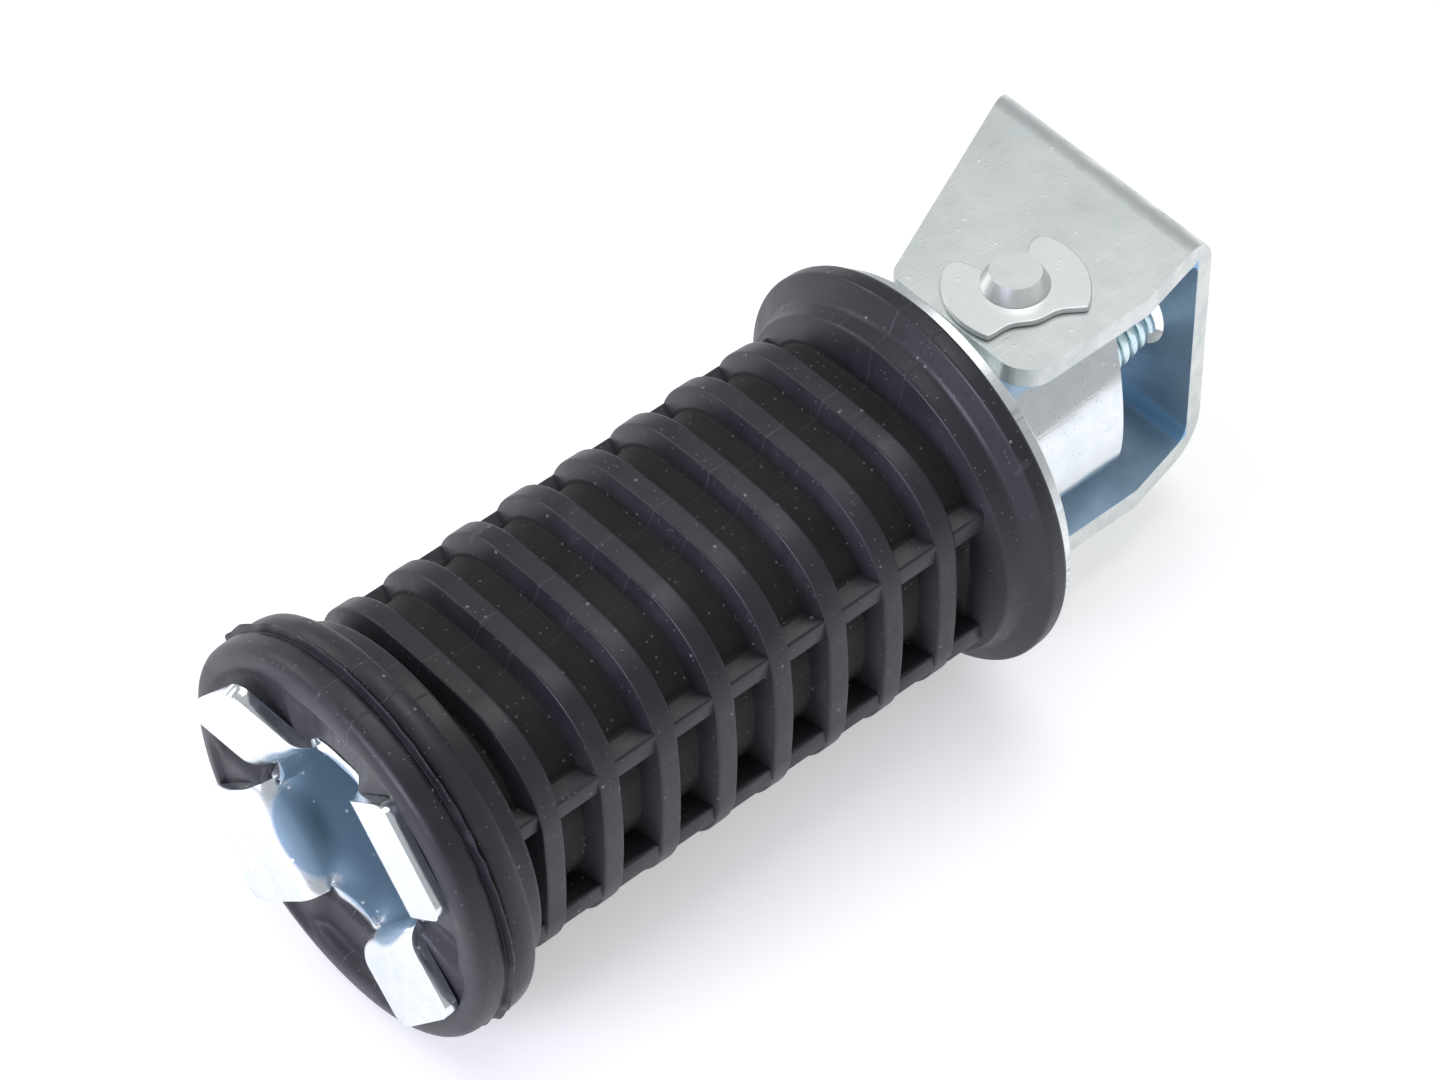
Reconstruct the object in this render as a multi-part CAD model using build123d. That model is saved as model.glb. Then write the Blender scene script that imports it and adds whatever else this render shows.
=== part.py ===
"""Folding foot peg: a pressed U bracket, a hinge pin and a tubular peg with a ribbed rubber sleeve.

Millimetres. The origin is the middle of the mounting hole on the outside face of the bracket.
X runs out along the peg, Z along the hinge pin, Y across. The pieces are drawn about the hinge
pin and moved to the origin at the end.
"""
import math
import os

from build123d import *

# ---- bracket, pressed from one strip of plate -------------------------------------------------
PLATE_T = 3.5            # plate thickness
EAR_GAP = 36.0           # clear height between the two ears
BEND_R = 6.0             # outside radius of both bends
PIN_TO_WALL = 28.8       # hinge pin axis to the outside face of the wall
EAR_FRONT = 11.0         # hinge pin axis to the front edge of an ear
EAR_SIDE = 13.8          # pin axis to the straight side edge, on the side the peg folds to
EAR_STRAIGHT = 12.5      # how far behind the pin that edge stays straight
EAR_SIDE_WALL = 10.0     # the same edge where it meets the wall
EAR_FLARE_FRONT = 13.6   # pin axis to the flared edge at the front
EAR_FLARE_WALL = 31.4    # pin axis to the flared edge at the wall
EAR_CORNER_R = 5.0       # round corner on the folding side
EAR_NOSE_R = 2.5         # small round corner on the flared side
HOLE_D = 13.0            # mounting hole, clears an M12 bolt
HOLE_OFFSET = 1.5        # mounting hole centre to the side of the pin axis

# ---- hinge pin and its clip ---------------------------------------------------------------------
PIN_D = 10.0
PIN_FIT = 0.05           # radial running clearance on the pin
PIN_HEAD_D = 15.0
PIN_HEAD_T = 2.6
PIN_PROUD = 3.6          # pin end above the upper ear
PIN_POINT_D = 7.5        # flat end of the tapered point
CLIP_T = 1.0
CLIP_LIFT = 0.1          # clip above the ear
CLIP_R = 10.4
CLIP_BACK = 7.4          # flat back edge of the clip, from the pin axis
CLIP_GAP = 7.4           # mouth that snaps over the groove
CLIP_TURN = 70.0         # direction of the flat back edge, degrees from the peg axis
GROOVE_D = 8.2
GROOVE_SLACK = 0.1

# ---- peg tube -------------------------------------------------------------------------------------
TUBE_D = 32.0
TUBE_T = 2.0
TUBE_END = 122.0         # pin axis to the end face of the rubber, where the tabs start
LIP_R = 2.0              # inside radius of the bend of the tabs
TAB_W = 17.6
TAB_REACH = 25.6         # peg axis to the end of a tab
TAB_ANGLE = 39.5         # middle of each tab from the Y axis, the same in all four quarters
TAIL_SIDE = 6.6          # oblique tail: how far behind the pin it ends on the folding side
TAIL_STOP = 0.3          # tail to the wall when the peg is straight out
TAIL_REACH_Y = 13.5      # across from the axis, where the oblique cut reaches the wall

# ---- pivot bush, welded through the tube ----------------------------------------------------------
BUSH_D = 15.0
BUSH_END_GAP = 0.3       # bush to each ear

# ---- flange plate, welded on the tube -------------------------------------------------------------
FLANGE_R = 29.2
FLANGE_T = 2.4
FLANGE_CLEAR = 0.35      # plate to the ear corner as the peg folds past it

# ---- rubber sleeve ----------------------------------------------------------------------------------
RIB_N = 8
RIB_PITCH = 10.0
RIB_HALF = 23.5          # half the width and half the height of a rib
RIB_CORNER = 15.5
RIB_CREST = 3.1          # flat of the crest, along the peg
RIB_BEVEL = 1.1          # length of each bevel, along the peg
GROOVE_DEPTH = 3.2
RIB_START = 15.45        # flange plate to the middle of the first rib
HUB_FLANGE_R = 31.2      # flange against the steel plate
HUB_FLANGE_LEN = 3.6
HUB_COLLAR_R = 27.2      # low step beside it
HUB_COLLAR_LEN = 4.4
LIP_OUT_R = 30.6         # rolled lip under the tabs
LIP_LEN = 4.6
BAND_R = 30.6            # band behind the lip
BAND_LEN = 4.9
COLLAR_R = 26.8          # low step beside the band
COLLAR_LEN = 3.4
EDGE_R = 1.6             # rounding of the flanges
WEB_T = 3.5              # webs between the ribs
WEB_RECESS = 1.1         # web outer face below the crests
WEB_UP = 11.35           # web middle above and below the peg axis

# ---- detent spring and its seat ---------------------------------------------------------------------
WIRE_D = 1.75
COIL_D = 11.0            # outside diameter
COIL_PITCH = 2.0
SPRING_TILT = 10.0       # degrees, towards the mounting hole
SPRING_SIDE = 1.4        # spring foot to the side of the peg axis
SPRING_WALL_GAP = 0.6    # envelope of the spring's end to the wall
SEAT_R = 6.6
SEAT_RIM = 2.2           # seat thickness beyond the bush
SEAT_PILOT_R = 3.0
SEAT_PILOT_LEN = 2.4

# ---- worked out -------------------------------------------------------------------------------------
ear_z = EAR_GAP / 2
bracket_z = ear_z + PLATE_T
wall_in = PIN_TO_WALL - PLATE_T
pin_r = PIN_D / 2
hole_r = pin_r + PIN_FIT
tube_r = TUBE_D / 2
tube_in = tube_r - TUBE_T
bush_r = BUSH_D / 2
corner_reach = math.hypot(EAR_FRONT - EAR_CORNER_R, EAR_SIDE - EAR_CORNER_R) + EAR_CORNER_R
flange_x = corner_reach + FLANGE_CLEAR
rubber_x = flange_x + FLANGE_T
floor_half = RIB_HALF - GROOVE_DEPTH
floor_corner = RIB_CORNER - GROOVE_DEPTH
clip_z = bracket_z + CLIP_LIFT
rib_first = rubber_x + RIB_START


def along_x(length, radius, x0):
    """Cylinder along the peg axis from x0."""
    return Pos(x0, 0, 0) * extrude(Plane.YZ * Circle(radius), amount=length)


def upright(radius, z0, z1):
    """Cylinder along the hinge axis."""
    return Pos(0, 0, (z0 + z1) / 2) * Cylinder(radius, z1 - z0)


def rib_face(x, half, corner):
    """Rounded square across the peg at x."""
    return Pos(x, 0, 0) * (Plane.YZ * RectangleRounded(2 * half, 2 * half, corner))


def ear_outline():
    """Plan of the pressing, from the wall's outside face to the front of the ears."""
    flare = (EAR_FLARE_WALL - EAR_FLARE_FRONT) / (PIN_TO_WALL + EAR_FRONT)
    corners = [
        (EAR_FRONT, -EAR_FLARE_FRONT),
        (EAR_FRONT, EAR_SIDE),
        (-EAR_STRAIGHT, EAR_SIDE),
        (-PIN_TO_WALL, EAR_SIDE_WALL),
        (-PIN_TO_WALL, -EAR_FLARE_FRONT - flare * (PIN_TO_WALL + EAR_FRONT)),
    ]
    plan = make_face(Polyline(*corners, close=True))
    nose = plan.vertices().sort_by(Axis.X)[-2:].sort_by(Axis.Y)
    plan = fillet(nose[0], EAR_NOSE_R)
    side = plan.vertices().sort_by_distance((EAR_FRONT, EAR_SIDE))[0]
    return fillet(side, EAR_CORNER_R)


def make_bracket():
    """U section bent from plate, trimmed to the plan of its ears."""
    depth = PIN_TO_WALL + EAR_FRONT
    wide = 4 * EAR_FLARE_WALL
    mid = (EAR_FRONT - PIN_TO_WALL) / 2
    outside = Pos(mid, 0, 0) * Box(depth, wide, 2 * bracket_z)
    bends = outside.edges().filter_by(Axis.Y).group_by(Axis.X)[0]
    outside = fillet(bends, BEND_R)
    inside = Pos(mid + PLATE_T, 0, 0) * Box(depth, wide, EAR_GAP)
    creases = inside.edges().filter_by(Axis.Y).group_by(Axis.X)[0]
    inside = fillet(creases, BEND_R - PLATE_T)
    body = (outside - inside) & (Pos(0, 0, -bracket_z) * extrude(ear_outline(), amount=2 * bracket_z))
    body -= upright(hole_r, -2 * bracket_z, 2 * bracket_z)
    body -= Pos(0, -HOLE_OFFSET, 0) * along_x(2 * PLATE_T, HOLE_D / 2, -PIN_TO_WALL - PLATE_T / 2)
    return body


def make_pin():
    """Turned pin: head under the lower ear, clip groove and tapered point above the upper one."""
    top = bracket_z + PIN_PROUD
    groove_top = clip_z + CLIP_T + GROOVE_SLACK / 2
    outline = [
        (0, -bracket_z - PIN_HEAD_T),
        (PIN_HEAD_D / 2, -bracket_z - PIN_HEAD_T),
        (PIN_HEAD_D / 2, -bracket_z),
        (pin_r, -bracket_z),
        (pin_r, clip_z - GROOVE_SLACK / 2),
        (GROOVE_D / 2, clip_z - GROOVE_SLACK / 2),
        (GROOVE_D / 2, groove_top),
        (pin_r, groove_top),
        (PIN_POINT_D / 2, top),
        (0, top),
    ]
    body = revolve(Plane.XZ * make_face(Polyline(*outline, close=True)), Axis.Z)
    rim = body.edges().filter_by(GeomType.CIRCLE).group_by(Axis.Z)[0]
    return chamfer(rim, PIN_HEAD_T / 4)


def make_clip():
    """Snap clip: round outline with a flat back edge and an open mouth."""
    plan = Circle(CLIP_R) - Pos(CLIP_BACK + CLIP_R, 0) * Rectangle(2 * CLIP_R, 4 * CLIP_R)
    plan -= Circle(GROOVE_D / 2 + PIN_FIT)
    mouth = make_face(Polyline(
        (0, CLIP_GAP / 2), (-GROOVE_D / 2, CLIP_GAP / 2), (-CLIP_R - 1, CLIP_GAP * 0.85),
        (-CLIP_R - 1, -CLIP_GAP * 0.85), (-GROOVE_D / 2, -CLIP_GAP / 2), (0, -CLIP_GAP / 2),
        close=True))
    plan -= mouth
    body = extrude(plan, amount=CLIP_T)
    return Pos(0, 0, clip_z) * Rot(0, 0, CLIP_TURN) * body


def make_bush():
    """Plain sleeve that carries the tube on the pin."""
    end = ear_z - BUSH_END_GAP
    return upright(bush_r, -end, end) - upright(hole_r, -2 * end, 2 * end)


def tail_cut():
    """Everything behind the oblique end of the tube."""
    stop = -wall_in + TAIL_STOP
    far = 3 * TUBE_D
    plan = make_face(Polyline(
        (-TAIL_SIDE, far),
        (-TAIL_SIDE, tube_r),
        (stop, -TAIL_REACH_Y),
        (stop, -far),
        (-far, -far),
        (-far, far),
        close=True))
    return Pos(0, 0, -far) * extrude(plan, amount=2 * far)


def make_tube():
    """Tube with an oblique tail, holes for the bush, and four tabs turned out at the other end."""
    back = -wall_in
    lip_top = TUBE_END + TUBE_T
    bend_x = TUBE_END - LIP_R
    bend_r = tube_r + LIP_R
    turn = math.sqrt(0.5)
    profile = Polyline((back, tube_r), (back, tube_in), (bend_x, tube_in))
    profile += ThreePointArc(
        (bend_x, tube_in),
        (bend_x + (LIP_R + TUBE_T) * turn, bend_r - (LIP_R + TUBE_T) * turn),
        (lip_top, bend_r))
    profile += Polyline((lip_top, bend_r), (lip_top, 2 * tube_r), (TUBE_END, 2 * tube_r),
                        (TUBE_END, bend_r))
    profile += ThreePointArc(
        (TUBE_END, bend_r),
        (bend_x + LIP_R * turn, bend_r - LIP_R * turn),
        (bend_x, tube_r))
    profile += Line((bend_x, tube_r), (back, tube_r))
    body = revolve(make_face(profile), Axis.X)
    # the turned-out rim is sheared into tabs
    keep = along_x(bend_x - back + LIP_R * turn, tube_r + LIP_R, back)
    for angle in (TAB_ANGLE, 180 - TAB_ANGLE, 180 + TAB_ANGLE, -TAB_ANGLE):
        tab = Pos(bend_x, TAB_REACH / 2, 0) * Box(2 * (LIP_R + TUBE_T), TAB_REACH, TAB_W)
        tab = fillet(tab.edges().filter_by(Axis.X).group_by(Axis.Y)[-1], TAB_W / 9)
        keep += Rot(angle, 0, 0) * tab
    body = body & keep
    body -= tail_cut()
    body -= upright(bush_r, -TUBE_D, TUBE_D)
    return body


def make_flange():
    """Steel disc that backs the rubber."""
    body = along_x(FLANGE_T, FLANGE_R, flange_x) - along_x(3 * FLANGE_T, tube_r, flange_x - FLANGE_T)
    rims = body.edges().filter_by(GeomType.CIRCLE).sort_by(SortBy.RADIUS)[-2:]
    return chamfer(rims, FLANGE_T / 8)


def make_rib(x):
    """One rib: flat crest with a bevel on both sides."""
    half = RIB_CREST / 2
    sides = [
        rib_face(x - half - RIB_BEVEL, floor_half, floor_corner),
        rib_face(x - half, RIB_HALF, RIB_CORNER),
        rib_face(x + half, RIB_HALF, RIB_CORNER),
        rib_face(x + half + RIB_BEVEL, floor_half, floor_corner),
    ]
    return loft(sides, ruled=True)


def ring(x0, length, radius):
    """Round flange of the sleeve with rounded rims."""
    disc = along_x(length, radius, x0)
    return fillet(disc.edges().filter_by(GeomType.CIRCLE), min(EDGE_R, length / 2.5))


def make_sleeve():
    """Rubber sleeve: core, ribs, webs, and a stepped flange at each end."""
    body = extrude(rib_face(rubber_x, floor_half, floor_corner), amount=TUBE_END - rubber_x)
    for i in range(RIB_N):
        body += make_rib(rib_first + i * RIB_PITCH)
    web_out = RIB_HALF - WEB_RECESS
    web_x0 = rubber_x + HUB_FLANGE_LEN
    web_x1 = TUBE_END - LIP_LEN
    for side in (-1, 1):
        for up in (-1, 1):
            body += Pos((web_x0 + web_x1) / 2, side * (web_out + tube_r) / 2, up * WEB_UP) * Box(
                web_x1 - web_x0, web_out - tube_r, WEB_T)
    body += ring(rubber_x, HUB_FLANGE_LEN, HUB_FLANGE_R)
    body += ring(rubber_x + HUB_FLANGE_LEN - EDGE_R, HUB_COLLAR_LEN + EDGE_R, HUB_COLLAR_R)
    lip_x = TUBE_END - LIP_LEN
    band_x = lip_x - BAND_LEN
    body += ring(lip_x, LIP_LEN, LIP_OUT_R)
    body += ring(band_x, BAND_LEN, BAND_R)
    body += ring(band_x - COLLAR_LEN, COLLAR_LEN + EDGE_R, COLLAR_R)
    bore = along_x(2 * TUBE_END, tube_r, 0)
    # mouth of the bore follows the turned-out lip of the tube
    bend_x = TUBE_END - LIP_R
    relief = revolve(make_face(Polyline(
        (bend_x, 0), (TUBE_END + LIP_R, 0), (TUBE_END + LIP_R, tube_r + LIP_R),
        (TUBE_END, tube_r + LIP_R), (bend_x, tube_r), close=True)), Axis.X)
    return body - bore - relief


def make_seat():
    """Turned seat that straddles the bush and centres the spring."""
    face = -bush_r - SEAT_RIM
    foot_y = SPRING_SIDE
    body = along_x(bush_r / 2 + SEAT_RIM, SEAT_R, face)
    body += along_x(SEAT_PILOT_LEN, SEAT_PILOT_R, face - SEAT_PILOT_LEN)
    body = Pos(0, foot_y, 0) * body
    return body - upright(bush_r, -TUBE_D, TUBE_D)


def make_spring():
    """Compression spring from the seat to just short of the wall, its end on the +Y side."""
    face = -bush_r - SEAT_RIM
    mean_r = (COIL_D - WIRE_D) / 2
    reach = wall_in - SPRING_WALL_GAP + face
    tilt = math.radians(SPRING_TILT)
    length = (reach - COIL_D * math.sin(tilt)) / math.cos(tilt)
    height = length - WIRE_D
    coil = Helix(pitch=COIL_PITCH, height=height, radius=mean_r)
    section = Plane(coil @ 0, z_dir=coil % 0) * Circle(WIRE_D / 2)
    body = sweep(section, path=coil)
    body = Rot(0, 0, 90 - 360 * height / COIL_PITCH) * body
    # helix axis from +Z to the -X direction, then tilted in plan
    body = Rot(0, -90, 0) * Pos(0, 0, WIRE_D / 2) * body
    body = Rot(0, 0, SPRING_TILT) * body
    return Pos(face - COIL_D / 2 * math.sin(tilt), SPRING_SIDE, 0) * body


MAKERS = {
    "bracket": make_bracket,
    "hinge_pin": make_pin,
    "retaining_clip": make_clip,
    "peg_tube": make_tube,
    "pivot_bush": make_bush,
    "flange_plate": make_flange,
    "rubber_sleeve": make_sleeve,
    "detent_spring": make_spring,
    "spring_seat": make_seat,
}

os.makedirs("parts", exist_ok=True)
for name, maker in MAKERS.items():
    solid = Pos(PIN_TO_WALL, HOLE_OFFSET, 0) * maker()
    export_step(solid, f"parts/{name}.step")
    box = solid.bounding_box()
    print(name, "solids", len(solid.solids()), "volume", round(solid.volume),
          "size", [round(v, 1) for v in box.size], "valid", solid.is_valid)
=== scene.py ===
"""Looks for the folding foot peg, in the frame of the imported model.

Lengths are metres in Blender; values in millimetres are turned into metres by MM.
"""
import math
import random

import bpy
import bmesh
from mathutils import Matrix, Vector, noise


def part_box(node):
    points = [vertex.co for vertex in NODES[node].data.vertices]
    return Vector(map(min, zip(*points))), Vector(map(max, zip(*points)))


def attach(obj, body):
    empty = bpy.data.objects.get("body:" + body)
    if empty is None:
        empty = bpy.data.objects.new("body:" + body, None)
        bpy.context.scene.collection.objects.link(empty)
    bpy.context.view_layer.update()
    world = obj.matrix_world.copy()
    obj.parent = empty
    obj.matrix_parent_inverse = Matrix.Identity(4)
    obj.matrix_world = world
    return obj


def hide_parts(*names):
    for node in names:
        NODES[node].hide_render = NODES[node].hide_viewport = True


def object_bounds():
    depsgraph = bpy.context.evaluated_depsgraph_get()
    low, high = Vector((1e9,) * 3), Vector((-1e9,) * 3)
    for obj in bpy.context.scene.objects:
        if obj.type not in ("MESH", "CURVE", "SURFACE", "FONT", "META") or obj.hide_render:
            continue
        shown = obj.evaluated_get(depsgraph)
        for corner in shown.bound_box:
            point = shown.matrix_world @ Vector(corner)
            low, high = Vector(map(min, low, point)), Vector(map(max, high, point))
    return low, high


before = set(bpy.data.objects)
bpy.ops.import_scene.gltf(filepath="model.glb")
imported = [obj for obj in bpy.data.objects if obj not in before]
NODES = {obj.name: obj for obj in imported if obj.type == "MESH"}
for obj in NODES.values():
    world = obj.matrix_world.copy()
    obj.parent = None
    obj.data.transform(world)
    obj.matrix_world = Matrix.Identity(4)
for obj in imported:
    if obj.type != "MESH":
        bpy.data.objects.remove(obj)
CAD_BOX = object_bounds()
MM = 0.001

# hinge axis and peg axis, from the pin and the sleeve
pin_lo, pin_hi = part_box("hinge_pin")
sleeve_lo, sleeve_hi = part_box("rubber_sleeve")
PIN_X = (pin_lo[0] + pin_hi[0]) / 2
AXIS_Y = (sleeve_lo[1] + sleeve_hi[1]) / 2
FLOOR_Z = CAD_BOX[0][2]

# rubber sleeve, in millimetres, with x from the hinge axis
X0 = (sleeve_lo[0] - PIN_X) / MM           # end against the flange plate
X1 = (sleeve_hi[0] - PIN_X) / MM           # end under the tabs
RIBS = 8
PITCH = 10.0
FIRST_RIB = X0 + 15.45
SQ = 8.0                                   # a rib's corner centres, from the axis both ways
CREST = 23.5                               # half the width of a rib
CROWN = 0.3                                # how far a rib's flat side falls off towards its corners
FLOOR = 20.3                               # groove floor, a smaller square of the same kind
POCKET_R = 20.5                            # round floor of the pockets between two webs
WEB_T = 3.5
WEB_RECESS = 1.1                           # web outer face below the crests
WEB_UP = 11.35                             # web middle above and below the axis
FIN_X = X1 - 4.57                          # flash fin left at the parting line of the end lip
HOLLOW_R = 25.9                            # radius of the hollow in the end face between the tabs

# peg tube
TUBE_R = 16.0
TUBE_WALL = 2.0
TAB_ANGLES = (39.5, 140.5, 219.5, 320.5)   # middle of each tab, in degrees round the peg from +Y

# ------------------------------------------------------------------------------------------------
# materials
# ------------------------------------------------------------------------------------------------
class Tree:
    """Short way to write a node material."""

    def __init__(self, name):
        self.mat = bpy.data.materials.new(name)
        self.mat.use_nodes = True
        self.nt = self.mat.node_tree
        self.nt.nodes.clear()
        self.out = self.nt.nodes.new("ShaderNodeOutputMaterial")
        self.bsdf = self.nt.nodes.new("ShaderNodeBsdfPrincipled")
        self.nt.links.new(self.bsdf.outputs[0], self.out.inputs[0])
        self.coord = self.nt.nodes.new("ShaderNodeTexCoord").outputs["Object"]

    def link(self, a, b):
        if hasattr(a, "is_output"):
            self.nt.links.new(a, b)
        else:
            b.default_value = a

    def node(self, kind, inputs=(), **props):
        n = self.nt.nodes.new(kind)
        for k, v in props.items():
            setattr(n, k, v)
        for k, v in dict(inputs).items():
            self.link(v, n.inputs[k])
        return n

    def scaled(self, s):
        return self.node("ShaderNodeMapping", {"Vector": self.coord, "Scale": s}).outputs[0]

    def noise(self, scale, detail=4, rough=0.55, stretch=(1, 1, 1), distort=0.0):
        n = self.node("ShaderNodeTexNoise", {"Vector": self.scaled(stretch), "Scale": scale,
                                             "Detail": detail, "Roughness": rough,
                                             "Distortion": distort})
        return n.outputs["Fac"]

    def dots(self, scale, size, seed=0.0):
        """1 inside scattered small dots."""
        place = (seed, seed * 1.7, -seed)
        off = self.node("ShaderNodeMapping", {"Vector": self.coord, "Location": place}).outputs[0]
        v = self.node("ShaderNodeTexVoronoi", {"Vector": off, "Scale": scale, "Randomness": 1.0})
        r = self.range(v.outputs["Distance"], size, size * 0.55, 0, 1)
        pick = self.node("ShaderNodeSeparateColor", {"Color": v.outputs["Color"]}).outputs[0]
        few = self.range(pick, 0.62, 0.7, 0, 1)
        return self.math("MULTIPLY", r, few)

    def range(self, v, a, b, c, d, smooth=False):
        n = self.node("ShaderNodeMapRange", {"Value": v, "From Min": a, "From Max": b,
                                             "To Min": c, "To Max": d})
        n.interpolation_type = "SMOOTHSTEP" if smooth else "LINEAR"
        return n.outputs[0]

    def math(self, op, a, b=0.0):
        n = self.nt.nodes.new("ShaderNodeMath")
        n.operation = op
        for i, v in enumerate((a, b)):
            self.link(v, n.inputs[i])
        return n.outputs[0]

    def mix(self, f, a, b):
        n = self.nt.nodes.new("ShaderNodeMix")
        n.data_type = "RGBA"
        self.link(f, n.inputs[0])
        self.link(a, n.inputs[6])
        self.link(b, n.inputs[7])
        return n.outputs[2]

    def bump(self, height, strength, distance, normal=None):
        n = self.node("ShaderNodeBump", {"Height": height, "Strength": strength,
                                         "Distance": distance})
        if normal is not None:
            self.link(normal, n.inputs["Normal"])
        return n.outputs[0]

    def xyz(self):
        return self.node("ShaderNodeSeparateXYZ", {"Vector": self.coord}).outputs


def rgb(r, g, b):
    return (r, g, b, 1.0)


def zinc(name, base, dark, rough=0.3, spread=0.12, grain=0.5, mottle=220, specks=0.0, brush=None,
         inner=None, dents=0.25, shear=0.0):
    """Bright zinc plate: mottled, faintly grained, with small bright and dark specks.

    inner is (tint, area, haze): on that area the colour is mixed towards the tint, as painted shade,
    and the plating is hazy, so less mirror-like.
    shear is the strength of dark marks left across the edge of a sheared disc.
    """
    t = Tree(name)
    blotch = t.range(t.noise(mottle, 6, 0.6), 0.35, 0.65, 0, 1, True)
    cloud = t.range(t.noise(mottle * 0.22, 3), 0.35, 0.65, 0, 1, True)
    col = t.mix(t.math("MULTIPLY", blotch, 0.5), base, dark)
    col = t.mix(t.math("MULTIPLY", cloud, 0.35), col, dark)
    r = t.range(blotch, 0, 1, rough - spread / 2, rough + spread / 2)
    t.bsdf.inputs["Metallic"].default_value = 1.0
    if inner is not None:
        tint, area, haze = inner
        where = area(t)
        # painted shade: the colour on the inner area is mixed towards the darker tint
        col = t.mix(where, col, tint)
        r = t.math("ADD", r, t.math("MULTIPLY", where, 0.15))
        t.link(t.range(where, 0, 1, 1, 1 - haze), t.bsdf.inputs["Metallic"])
    fine = t.noise(2600, 4, 0.6)
    height = fine
    if brush is not None:
        height = t.math("ADD", t.math("MULTIPLY", fine, 0.6), t.noise(900, 3, 0.5, stretch=brush))
    if specks:
        bright = t.dots(520, 0.16, 0.3)
        dust = t.dots(1500, 0.2, 1.3)
        col = t.mix(t.math("MULTIPLY", bright, specks), col, rgb(0.95, 0.97, 0.98))
        col = t.mix(t.math("MULTIPLY", dust, specks * 0.6), col, rgb(0.2, 0.22, 0.25))
        r = t.math("ADD", r, t.math("MULTIPLY", bright, 0.25))
        height = t.math("ADD", height, t.math("MULTIPLY", bright, 1.5))
    if shear:
        marks = t.range(t.noise(1500, 2, 0.5, stretch=(0.06, 1, 1)), 0.5, 0.62, 0, 1)
        patch = t.range(t.noise(55, 2), 0.42, 0.6, 0, 1, True)
        marks = t.math("MULTIPLY", marks, patch)
        col = t.mix(t.math("MULTIPLY", marks, shear), col, rgb(0.06, 0.07, 0.07))
        height = t.math("SUBTRACT", height, t.math("MULTIPLY", marks, 2.0))
    t.link(col, t.bsdf.inputs["Base Color"])
    t.link(r, t.bsdf.inputs["Roughness"])
    n = t.bump(height, grain, 0.00004)
    n = t.bump(t.noise(60, 2), dents, 0.0006, n)
    t.link(n, t.bsdf.inputs["Normal"])
    return t.mat


SEAMS = (-0.8 * MM, 5.6 * MM)              # parting marks of the rubber, from the peg axis


def shaded_groove_floor(t):
    """1 on the floor of the grooves, where the rubber is rougher than on the ribs and its colour is
    darkened as painted shade.
    """
    x, y, z = t.xyz()
    across = t.math("ABSOLUTE", t.math("SUBTRACT", y, AXIS_Y))
    up = t.math("ABSOLUTE", z)
    parts = []
    for v in (across, up):
        part = t.math("MAXIMUM", t.math("SUBTRACT", v, SQ * MM), 0.0)
        parts.append(t.math("MULTIPLY", part, part))
    off = t.math("SQRT", t.math("ADD", parts[0], parts[1]))
    low = (FLOOR - SQ) * MM
    deep = t.range(off, low + 0.15 * MM, low + 0.5 * MM, 1, 0, True)
    after = t.range(x, PIN_X + (X0 + 7) * MM, PIN_X + (X0 + 8) * MM, 0, 1)
    before = t.range(x, PIN_X + (X1 - 12) * MM, PIN_X + (X1 - 13) * MM, 0, 1)
    return t.math("MULTIPLY", deep, t.math("MULTIPLY", after, before))


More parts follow.
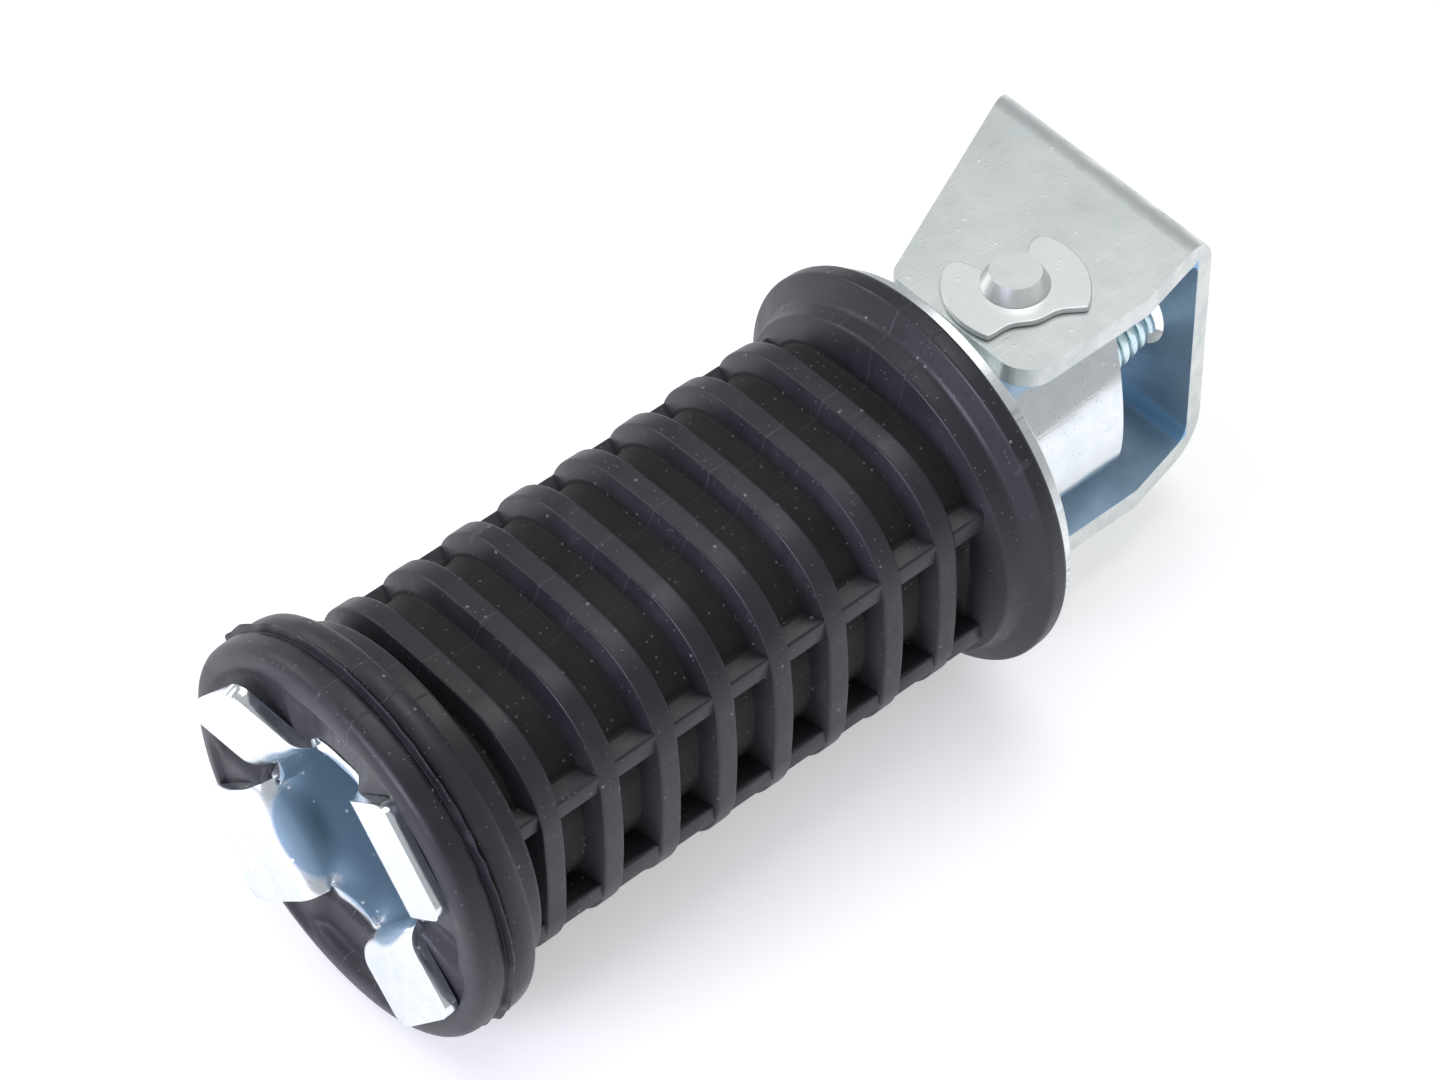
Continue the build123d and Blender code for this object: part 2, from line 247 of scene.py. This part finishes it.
def rubber(name):
    """Moulded black rubber: satin, dusty, with fine parting marks and a few scuffs."""
    t = Tree(name)
    y = t.xyz()["Y"]
    cloud = t.range(t.noise(45, 4), 0.35, 0.65, 0, 1, True)
    col = t.mix(cloud, rgb(0.010, 0.010, 0.0135), rgb(0.016, 0.016, 0.0215))
    # grey bloom that gathers in patches
    bloom = t.range(t.noise(130, 6, 0.65, distort=0.6), 0.5, 0.78, 0, 1, True)
    col = t.mix(t.math("MULTIPLY", bloom, 0.35), col, rgb(0.03, 0.03, 0.033))
    # pale dust specks of two sizes
    for scale, size, seed, amount in ((420, 0.13, 0.2, 0.55), (1100, 0.17, 2.2, 0.4)):
        d = t.dots(scale, size, seed)
        col = t.mix(t.math("MULTIPLY", d, amount), col, rgb(0.25, 0.25, 0.26))
    # short scuffs across the crests
    scuff = t.range(t.noise(420, 2, 0.5, stretch=(0.16, 1.0, 0.5), distort=0.4), 0.71, 0.76, 0, 1)
    col = t.mix(t.math("MULTIPLY", scuff, 0.22), col, rgb(0.1, 0.1, 0.11))
    r = t.range(t.noise(90, 5, 0.6), 0.3, 0.7, 0.36, 0.52)
    r = t.math("ADD", r, t.math("MULTIPLY", bloom, 0.10))
    floor = shaded_groove_floor(t)
    r = t.math("ADD", r, t.math("MULTIPLY", floor, 0.3))
    # painted shade: the groove floors are darkened in colour where the ribs shut out the light
    col = t.mix(t.math("MULTIPLY", floor, 0.9), col, rgb(0.0035, 0.0035, 0.0035))
    dust = t.dots(900, 0.2, 5.1)
    col = t.mix(t.math("MULTIPLY", t.math("MULTIPLY", dust, floor), 0.5), col, rgb(0.2, 0.2, 0.2))
    fine = t.noise(3200, 4, 0.6)
    orange = t.noise(700, 3)
    n = t.bump(fine, 0.35, 0.00003)
    n = t.bump(orange, 0.35, 0.00008, n)
    # two parting marks of the mould across the ribs, along the top and the bottom
    wobble = t.math("MULTIPLY", t.math("SUBTRACT", t.noise(160, 2), 0.5), 0.0012)
    across = t.math("ADD", y, wobble)
    left, right = (t.math("ABSOLUTE", t.math("SUBTRACT", across, AXIS_Y + at)) for at in SEAMS)
    seam = t.range(t.math("MINIMUM", left, right), 0.0, 0.00022, 1, 0, True)
    n = t.bump(seam, 0.6, 0.00012, n)
    col = t.mix(t.math("MULTIPLY", seam, 0.25), col, rgb(0.06, 0.06, 0.065))
    t.link(col, t.bsdf.inputs["Base Color"])
    t.link(r, t.bsdf.inputs["Roughness"])
    t.link(n, t.bsdf.inputs["Normal"])
    t.bsdf.inputs["IOR"].default_value = 1.5
    t.bsdf.inputs["Specular IOR Level"].default_value = 0.45
    t.bsdf.inputs["Sheen Weight"].default_value = 0.04
    t.bsdf.inputs["Sheen Roughness"].default_value = 0.5
    t.bsdf.inputs["Sheen Tint"].default_value = rgb(0.78, 0.76, 0.95)
    return t.mat


def shaded_bracket_inside(t):
    """1 on the inner faces of the bracket, which are painted a darker blue as shade."""
    x, _, z = t.xyz()
    wall = t.range(x, 3.3 * MM, 3.7 * MM, 0, 1)
    up = t.range(t.math("ABSOLUTE", z), 18.2 * MM, 17.8 * MM, 0, 1)
    return t.math("MULTIPLY", t.math("MULTIPLY", wall, up), 0.85)


def shaded_tube_bore(t):
    """1 on the bore of the tube, whose colour is darkened as painted shade."""
    _, y, z = t.xyz()
    across = t.math("SUBTRACT", y, AXIS_Y)
    square = t.math("ADD", t.math("MULTIPLY", across, across), t.math("MULTIPLY", z, z))
    return t.range(t.math("SQRT", square), 15.2 * MM, 14.6 * MM, 0, 1)


# the inner faces of the bracket are painted a darker blue as shade, and made hazy
M_BRACKET = zinc("zinc_bracket", rgb(0.73, 0.75, 0.73), rgb(0.52, 0.57, 0.57), 0.40, 0.14, 0.5, 240,
                 specks=0.25, brush=(0.25, 6, 6), inner=(rgb(0.22, 0.52, 0.86), shaded_bracket_inside, 0.6))
M_PIN = zinc("zinc_pin", rgb(0.78, 0.80, 0.78), rgb(0.66, 0.69, 0.68), 0.36, 0.08, 0.4, 500,
             specks=0.2, dents=0.05)
M_CLIP = zinc("zinc_clip", rgb(0.78, 0.80, 0.79), rgb(0.68, 0.71, 0.71), 0.4, 0.08, 0.35, 400,
              specks=0.15, dents=0.04)
# the bore of the tube is painted a dark blue-grey as shade, and made hazy
M_TUBE = zinc("zinc_tube", rgb(0.86, 0.90, 0.92), rgb(0.72, 0.77, 0.80), 0.17, 0.08, 0.35, 300,
              specks=0.7, brush=(0.12, 4, 4), inner=(rgb(0.22, 0.33, 0.41), shaded_tube_bore, 0.75))
M_FLANGE = zinc("zinc_flange", rgb(0.82, 0.86, 0.86), rgb(0.66, 0.70, 0.71), 0.3, 0.12, 0.5, 350,
                specks=0.3, shear=0.85)
M_SPRING = zinc("zinc_spring", rgb(0.74, 0.88, 0.90), rgb(0.58, 0.74, 0.78), 0.24, 0.08, 0.3, 600)
M_STEEL = zinc("plain_steel", rgb(0.62, 0.63, 0.64), rgb(0.45, 0.46, 0.48), 0.3, 0.1, 0.4, 400)
M_RUBBER = rubber("moulded_rubber")

for node, mat in {
    "bracket": M_BRACKET, "hinge_pin": M_PIN, "retaining_clip": M_CLIP, "peg_tube": M_TUBE,
    "pivot_bush": M_STEEL, "flange_plate": M_FLANGE, "rubber_sleeve": M_RUBBER,
    "detent_spring": M_SPRING, "spring_seat": M_STEEL,
}.items():
    for s in NODES[node].material_slots:
        s.material = mat


# ------------------------------------------------------------------------------------------------
# meshes
# ------------------------------------------------------------------------------------------------
def new_object(name, verts, faces, mat, smooth=True):
    me = bpy.data.meshes.new(name)
    me.from_pydata(verts, [], faces)
    me.update()
    ob = bpy.data.objects.new(name, me)
    bpy.context.scene.collection.objects.link(ob)
    me.materials.append(mat)
    if smooth:
        for p in me.polygons:
            p.use_smooth = True
    return ob


def round_edges(ob, width, segments, angle):
    """Small round on the edges that turn by more than the angle, in degrees."""
    b = ob.modifiers.new("edge", "BEVEL")
    b.width = width
    b.segments = segments
    b.limit_method = "ANGLE"
    b.angle_limit = math.radians(angle)


def rounded(points, seg=5):
    """Profile corners rounded: points are (x, half, corner offset, radius), in mm."""
    out = []
    last = len(points) - 1
    for i, (x, a, c, r) in enumerate(points):
        if i in (0, last) or r <= 0:
            out.append((x, a, c))
            continue
        here = Vector((x, a, c))
        before = Vector(points[i - 1][:3])
        after = Vector(points[i + 1][:3])
        d0 = min(r, (before - here).length * 0.48)
        d1 = min(r, (after - here).length * 0.48)
        p0 = here + (before - here).normalized() * d0
        p2 = here + (after - here).normalized() * d1
        for k in range(seg + 1):
            u = k / seg
            q = p0 * (1 - u) ** 2 + here * (2 * u * (1 - u)) + p2 * u ** 2
            out.append(tuple(q))
    return out


def square_radius(a, c, t):
    """Distance from the axis to a rounded square of half width a, corner centres at c."""
    u, v = abs(math.cos(t)), abs(math.sin(t))
    if u < v:
        u, v = v, u
    if c <= 1e-6:
        return a
    crown = CROWN * c / SQ
    along = a * v / u
    if along <= c:
        return (a - crown * (along / c) ** 2) / u
    s = c * (u + v)
    return s + math.sqrt(max(s * s - 2 * c * c + (a - c - crown) ** 2, 0))


def sleeve_profile():
    """Closed section as (x, half size, corner offset, rounding): offset 0 is a circle."""
    p = [(X0 + 0.3, TUBE_R, 0, 0), (X0, 17.0, 0, 0.4), (X0, 31.1, 0, 0.9), (X0 + 2.9, 31.2, 0, 0.5),
         (X0 + 4.7, 27.7, 0, 0.8), (X0 + 7.6, 27.1, 0, 0.6), (X0 + 9.0, FLOOR, SQ, 1.0)]
    for i in range(RIBS):
        x = FIRST_RIB + i * PITCH
        p += [(x - 2.9, FLOOR, SQ, 0.8), (x - 1.75, CREST, SQ, 0.5), (x + 1.5, CREST, SQ, 0.3),
              (x + 2.75, FLOOR, SQ, 0.35)]
    p += [(X1 - 14.3, FLOOR, SQ, 0.6), (X1 - 13.1, 26.6, 0, 0.6), (X1 - 9.9, 26.8, 0, 0.6),
          (X1 - 9.2, 30.2, 0, 1.0), (X1 - 6.9, 30.8, 0, 1.5), (X1 - 5.3, 30.2, 0, 0.5),
          (X1 - 4.95, 29.6, 0, 0.2), (X1 - 4.7, 32.2, 0, 0.12), (X1 - 4.45, 32.2, 0, 0.12),
          (X1 - 4.2, 29.9, 0, 0.4), (X1 - 3.4, 30.6, 0, 0.9), (X1 + 0.4, 30.4, 0, 3.0),
          (X1 + 0.7, 25.6, 0, 1.6), (X1 - 1.6, 24.6, 0, 0.8), (X1 - 1.6, 17.8, 0, 0.6),
          (X1 - 3.0, TUBE_R, 0, 0)]
    return rounded(p)


def tab_nearness(deg):
    """0 between the tabs, 1 under a tab."""
    none, full = 38, 29                    # degrees from the middle of the nearest tab
    gap = min(abs((deg - c + 180) % 360 - 180) for c in TAB_ANGLES)
    v = min(max((none - gap) / (none - full), 0), 1)
    return v * v * (3 - 2 * v)


def make_sleeve():
    """Closed profile carried round the axis, with the unevenness of a soft moulding."""
    prof = sleeve_profile()
    rings = 240
    rest_r = -FLOOR_Z / MM - 0.03          # the rubber flattens where it lies on the table
    verts = []
    for (x, a, c) in prof:
        for k in range(rings):
            t = 2 * math.pi * k / rings
            r = square_radius(a, c, t)
            xx = x
            # between the webs the floor is round, so that the pockets deepen towards the webs
            if FIRST_RIB - 6 < x < X1 - 13 and abs(r * math.sin(t)) < WEB_UP:
                deep = min(max((CREST - a) / (CREST - FLOOR), 0), 1)
                r -= deep * max(square_radius(FLOOR, SQ, t) - POCKET_R, 0)
            # between the tabs the end face stays hollow, under the tabs it is pressed flat
            if x > X1 - 2.0 and a < 29:
                flat = tab_nearness(math.degrees(t))
                if a < HOLLOW_R:
                    xx = x + (X1 - 0.05 - x) * flat
                elif a < 27:
                    xx = min(x, X1 + (x - X1) * (1 - flat))
            # the flash fin wanders and is torn here and there
            if abs(x - FIN_X) < 0.2 and a > 31.0:
                w = noise.noise(Vector((math.cos(t) * 3.1, math.sin(t) * 3.1, 4.0)))
                w2 = noise.noise(Vector((math.cos(t) * 11, math.sin(t) * 11, 9.0)))
                r += -0.9 + 1.1 * w + 0.5 * w2
                xx += 0.45 * w2 + 0.45 * w
            # the moulding is slightly uneven all over
            s = noise.noise(Vector((x * 0.06, math.cos(t) * 1.3, math.sin(t) * 1.3)))
            s2 = noise.noise(Vector((x * 0.35, math.cos(t) * 2.6 + 7, math.sin(t) * 2.6)))
            r += 0.16 * s + 0.07 * s2
            if math.sin(t) < -0.5:
                r = min(r, rest_r / -math.sin(t))
            verts.append(((xx * MM) + PIN_X, AXIS_Y + r * MM * math.cos(t), r * MM * math.sin(t)))
    faces = []
    n = len(prof)
    for i in range(n):
        j = (i + 1) % n
        for k in range(rings):
            k2 = (k + 1) % rings
            faces.append((i * rings + k, i * rings + k2, j * rings + k2, j * rings + k))
    return new_object("rubber_sleeve_detail", verts, faces, M_RUBBER)


def make_webs():
    """Short bars between the ribs, two on each side of the sleeve."""
    web_in = 16.8                          # inner face, buried in the sleeve
    reach = 4.0                            # from the middle of a groove into the ribs beside it
    bm = bmesh.new()
    rnd = random.Random(4)
    for g in range(RIBS + 1):
        x = FIRST_RIB + (g - 0.5) * PITCH
        x0, x1 = x - reach, x + reach
        if g == 0:
            x0 = X0 + 7.0
        if g == RIBS:
            x1 = X1 - 12.5
        for side in (-1, 1):
            for up in (-1, 1):
                out = CREST - WEB_RECESS + rnd.uniform(-0.15, 0.15)
                th = WEB_T / 2 + rnd.uniform(-0.12, 0.12)
                zc = up * (WEB_UP + rnd.uniform(-0.15, 0.15))
                made = bmesh.ops.create_cube(bm, size=1.0)["verts"]
                for v in made:
                    v.co = Vector((
                        PIN_X + (x0 + (v.co.x + 0.5) * (x1 - x0)) * MM,
                        AXIS_Y + side * (web_in + (v.co.y * side + 0.5) * (out - web_in)) * MM,
                        (zc + v.co.z * 2 * th * (1.0 if v.co.y * side > 0 else 1.15)) * MM))
    bmesh.ops.recalc_face_normals(bm, faces=bm.faces)
    me = bpy.data.meshes.new("webs")
    bm.to_mesh(me)
    bm.free()
    ob = bpy.data.objects.new("rubber_webs", me)
    bpy.context.scene.collection.objects.link(ob)
    me.materials.append(M_RUBBER)
    b = ob.modifiers.new("edge", "BEVEL")
    b.width = 0.45 * MM
    b.segments = 3
    for p in me.polygons:
        p.use_smooth = True
    return ob


# ------------------------------------------------------------------------------------------------
# peg tube with hand-bent tabs
# ------------------------------------------------------------------------------------------------
TAB_LIFTS = (1.0, 19.0, 7.0, 3.0)          # degrees by which each tab stands off the rubber
TAB_REACHES = (25.6, 25.8, 28.0, 26.4)     # end of each tab, from the peg axis
TAB_HALF = 8.8
FLAT_RUN = 4.0                             # length of tube that the folding of the tabs flattens
LIP_R = 2.0                                # outside radius of the bend into a tab
FLAT_H = 15.1                              # flats of the mouth, where the tabs fold
TAB_CORNER = 2.2
BEND_STEPS = 8
FLAT_SHARES = (0.25, 0.5, 0.7, 0.82, 0.9, 0.96, 1.0)
TAIL_START = (-6.6, TUBE_R)                # x and y where the oblique cut of the hinge end starts
TAIL_END = (-25.0, -13.5)                  # and where it ends


def tail_x(y):
    (x_a, y_a), (x_b, y_b) = TAIL_START, TAIL_END
    u = min(max((y_a - y) / (y_a - y_b), 0), 1)
    return x_a + (x_b - x_a) * u


def make_tube():
    """One sheet of wall: rows along the tube, then over the bend and out along each tab."""
    half_turn = math.degrees(math.asin(TAB_HALF / TUBE_R))
    columns = []                           # (tab index or None, offset across the tab, angle)
    tab_cols, gap_cols = 14, 8
    for i, mid in enumerate(TAB_ANGLES):
        for k in range(tab_cols + 1):
            u = TAB_HALF * (2 * k / tab_cols - 1)
            columns.append((i, u, mid + math.degrees(math.asin(u / TUBE_R))))
        start = mid + half_turn
        nxt = TAB_ANGLES[(i + 1) % 4] + (360 if i == 3 else 0) - half_turn
        for k in range(1, gap_cols):
            columns.append((None, k / gap_cols, start + (nxt - start) * k / gap_cols))
    bend_x = X1 - LIP_R
    flare = [0, 0.2, 0.4, 0.6, 0.75, 0.85, 0.92, 0.955, 0.965, 0.973, 0.98, 0.987, 0.994, 1.0]
    verts, index = [], {}
    edge_r = math.hypot(FLAT_H, TAB_HALF)
    edge_turn = math.degrees(math.atan2(TAB_HALF, FLAT_H))
    for c, (tab, u, deg) in enumerate(columns):
        start = tail_x(TUBE_R * math.cos(math.radians(deg)))
        end = bend_x if tab is not None else bend_x - 0.2 + 0.9 * abs(2 * u - 1) ** 3
        for row, f in enumerate(flare):
            x = start + (end - start) * f
            g = min(max((x - (bend_x - FLAT_RUN)) / FLAT_RUN, 0), 1)
            g = g * g * (3 - 2 * g)
            if tab is not None:
                h = math.sqrt(TUBE_R ** 2 - u * u) * (1 - g) + FLAT_H * g
                mid = math.radians(TAB_ANGLES[tab])
                y = h * math.cos(mid) - u * math.sin(mid)
                z = h * math.sin(mid) + u * math.cos(mid)
            else:
                push = (edge_r - TUBE_R) * g * abs(2 * u - 1) ** 1.5
                shift = (edge_turn - half_turn) * g * (1 - 2 * u)
                a = math.radians(deg + shift)
                y, z = (TUBE_R + push) * math.cos(a), (TUBE_R + push) * math.sin(a)
            index[c, row] = len(verts)
            verts.append((x, y, z))
        if tab is None:
            continue
        mid = math.radians(TAB_ANGLES[tab])
        full = math.radians(90 - TAB_LIFTS[tab])
        row = len(flare)
        steps = [("bend", full * k / BEND_STEPS) for k in range(1, BEND_STEPS + 1)]
        steps += [("flat", v) for v in FLAT_SHARES]
        h_end = FLAT_H + LIP_R - LIP_R * math.cos(full)
        x_end = bend_x + LIP_R * math.sin(full)
        run = TAB_REACHES[tab] - h_end
        for kind, v in steps:
            w = u
            if kind == "bend":
                x = bend_x + LIP_R * math.sin(v)
                h = FLAT_H + LIP_R - LIP_R * math.cos(v)
            else:
                x = x_end + run * v * math.cos(full) / math.sin(full)
                h = h_end + run * v
                left = run * (1 - v)
                if left < TAB_CORNER:
                    inset = TAB_CORNER - math.sqrt(TAB_CORNER ** 2 - (TAB_CORNER - left) ** 2)
                    w = u * (TAB_HALF - inset) / TAB_HALF
            y = h * math.cos(mid) - w * math.sin(mid)
            z = h * math.sin(mid) + w * math.cos(mid)
            index[c, row] = len(verts)
            verts.append((x, y, z))
            row += 1
    faces = []
    n = len(columns)
    rows = len(flare) + BEND_STEPS + len(FLAT_SHARES)
    for c in range(n):
        d = (c + 1) % n
        for row in range(rows - 1):
            quad = [(c, row), (d, row), (d, row + 1), (c, row + 1)]
            if all(q in index for q in quad):
                faces.append(tuple(index[q] for q in quad))
    place = [(PIN_X + x * MM, AXIS_Y + y * MM, z * MM) for x, y, z in verts]
    ob = new_object("peg_tube_detail", place, faces, M_TUBE)
    s = ob.modifiers.new("wall", "SOLIDIFY")
    s.thickness = TUBE_WALL * MM
    s.offset = -1
    s.use_even_offset = True
    round_edges(ob, 0.35 * MM, 3, 50)
    return ob


# ------------------------------------------------------------------------------------------------
# snap clip with a wavy back edge
# ------------------------------------------------------------------------------------------------
CLIP_TURN = math.radians(70)               # direction of its back edge, from the peg axis
CLIP_R = 10.4
CLIP_HOLE_R = 4.15
BACK_OUT = 7.25                            # back edge, from the middle of the hole
BACK_HALF = 7.6                            # half its length
WAVE = 0.33                                # height and length of its waves
WAVE_LENGTH = 7.5


def make_clip():
    """One half of the outline, from the middle of the back edge round to the hole, and its mirror."""
    half = []
    for k in range(25):
        v = -BACK_HALF * k / 24
        wave = WAVE * math.cos(2 * math.pi * v / WAVE_LENGTH)
        half.append((BACK_OUT + wave + 0.36 * (v / BACK_HALF) ** 2, v))
    for k in range(1, 21):
        a = math.radians(-44 - 84 * k / 20)
        r = CLIP_R + 0.6 * (1 - k / 20) ** 3
        half.append((r * math.cos(a), r * math.sin(a)))
    half += [(-7.05, -7.3), (-7.2, -6.4), (-6.8, -5.4), (-5.9, -4.6)]
    for k in range(17):
        a = math.radians(-141 + 141 * k / 16)
        half.append((CLIP_HOLE_R * math.cos(a), CLIP_HOLE_R * math.sin(a)))
    outer = half + [(u, -v) for u, v in reversed(half[1:-1])]
    lo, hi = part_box("retaining_clip")
    bm = bmesh.new()
    ca, sa = math.cos(CLIP_TURN), math.sin(CLIP_TURN)
    ring = [bm.verts.new((PIN_X + (u * ca - v * sa) * MM, AXIS_Y + (u * sa + v * ca) * MM, lo[2]))
            for u, v in outer]
    face = bm.faces.new(ring)
    made = bmesh.ops.extrude_face_region(bm, geom=[face])["geom"]
    for v in made:
        if isinstance(v, bmesh.types.BMVert):
            v.co.z = hi[2]
    bmesh.ops.recalc_face_normals(bm, faces=bm.faces)
    me = bpy.data.meshes.new("clip")
    bm.to_mesh(me)
    bm.free()
    ob = bpy.data.objects.new("retaining_clip_detail", me)
    bpy.context.scene.collection.objects.link(ob)
    me.materials.append(M_CLIP)
    round_edges(ob, 0.18 * MM, 2, 40)
    return ob


sleeve = make_sleeve()
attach(sleeve, "peg")
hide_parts("rubber_sleeve")
webs = make_webs()
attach(webs, "peg")
tube = make_tube()
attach(tube, "peg")
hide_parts("peg_tube")
clip = make_clip()
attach(clip, "bracket_body")
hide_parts("retaining_clip")

for node, width in (("bracket", 0.4), ("hinge_pin", 0.2), ("flange_plate", 0.2)):
    round_edges(NODES[node], width * MM, 2, 35)


# ------------------------------------------------------------------------------------------------
# floor, light and camera
# ------------------------------------------------------------------------------------------------
def make_floor():
    h = 6.0                                # half its width
    verts = [(-h, -h, FLOOR_Z), (h, -h, FLOOR_Z), (h, h, FLOOR_Z), (-h, h, FLOOR_Z)]
    t = Tree("table")
    t.bsdf.inputs["Base Color"].default_value = rgb(0.74, 0.74, 0.74)
    t.bsdf.inputs["Roughness"].default_value = 0.6
    t.bsdf.inputs["Emission Color"].default_value = rgb(1, 1, 1)
    t.bsdf.inputs["Emission Strength"].default_value = 0.42
    ob = new_object("floor", verts, [(0, 1, 2, 3)], t.mat, False)


def area_light(name, direction, distance, size, power, color=(1, 1, 1)):
    """Panel that faces the middle of the peg from the direction given."""
    target = Vector((PIN_X + 0.045, AXIS_Y, 0))
    d = Vector(direction).normalized()
    data = bpy.data.lights.new(name, "AREA")
    data.shape = "RECTANGLE"
    data.size, data.size_y = size
    data.energy = power
    data.color = color
    ob = bpy.data.objects.new(name, data)
    bpy.context.scene.collection.objects.link(ob)
    turn = d.to_track_quat("Z", "Y").to_matrix().to_4x4()
    ob.matrix_world = Matrix.Translation(target + d * distance) @ turn


def make_world():
    w = bpy.data.worlds.new("studio")
    bpy.context.scene.world = w
    w.use_nodes = True
    bg = w.node_tree.nodes["Background"]
    bg.inputs[0].default_value = (0.96, 0.98, 1.0, 1)
    bg.inputs[1].default_value = 0.52


make_floor()
make_world()
area_light("left_softbox", (0.35, -0.85, 0.55), 0.9, (0.5, 0.35), 2.0)
area_light("top_softbox", (-0.35, -0.1, 1.0), 1.1, (0.6, 0.6), 3.4)
area_light("end_fill", (1.0, 0.10, 0.45), 0.8, (0.5, 0.3), 5.0, (0.78, 0.76, 1.0))

# camera fitted to the photo; its turn about the vertical, its tilt from straight down and its
# roll are degrees
CAM_PLACE = (0.402196, 0.375906, 0.561142)
CAM_TURN = 139.5861
CAM_TILT = 41.7389
CAM_ROLL = -1.0983

cam_data = bpy.data.cameras.new("camera")
cam_data.sensor_width = 36
cam_data.lens = 135.86
cam_data.clip_start = 0.01
cam = bpy.data.objects.new("camera", cam_data)
bpy.context.scene.collection.objects.link(cam)
aim = (Matrix.Rotation(math.radians(CAM_TURN), 4, "Z")
       @ Matrix.Rotation(math.radians(CAM_TILT), 4, "X")
       @ Matrix.Rotation(math.radians(CAM_ROLL), 4, "Z"))
cam.matrix_world = Matrix.Translation(CAM_PLACE) @ aim
bpy.context.scene.camera = cam
bpy.context.scene.view_settings.view_transform = "Standard"
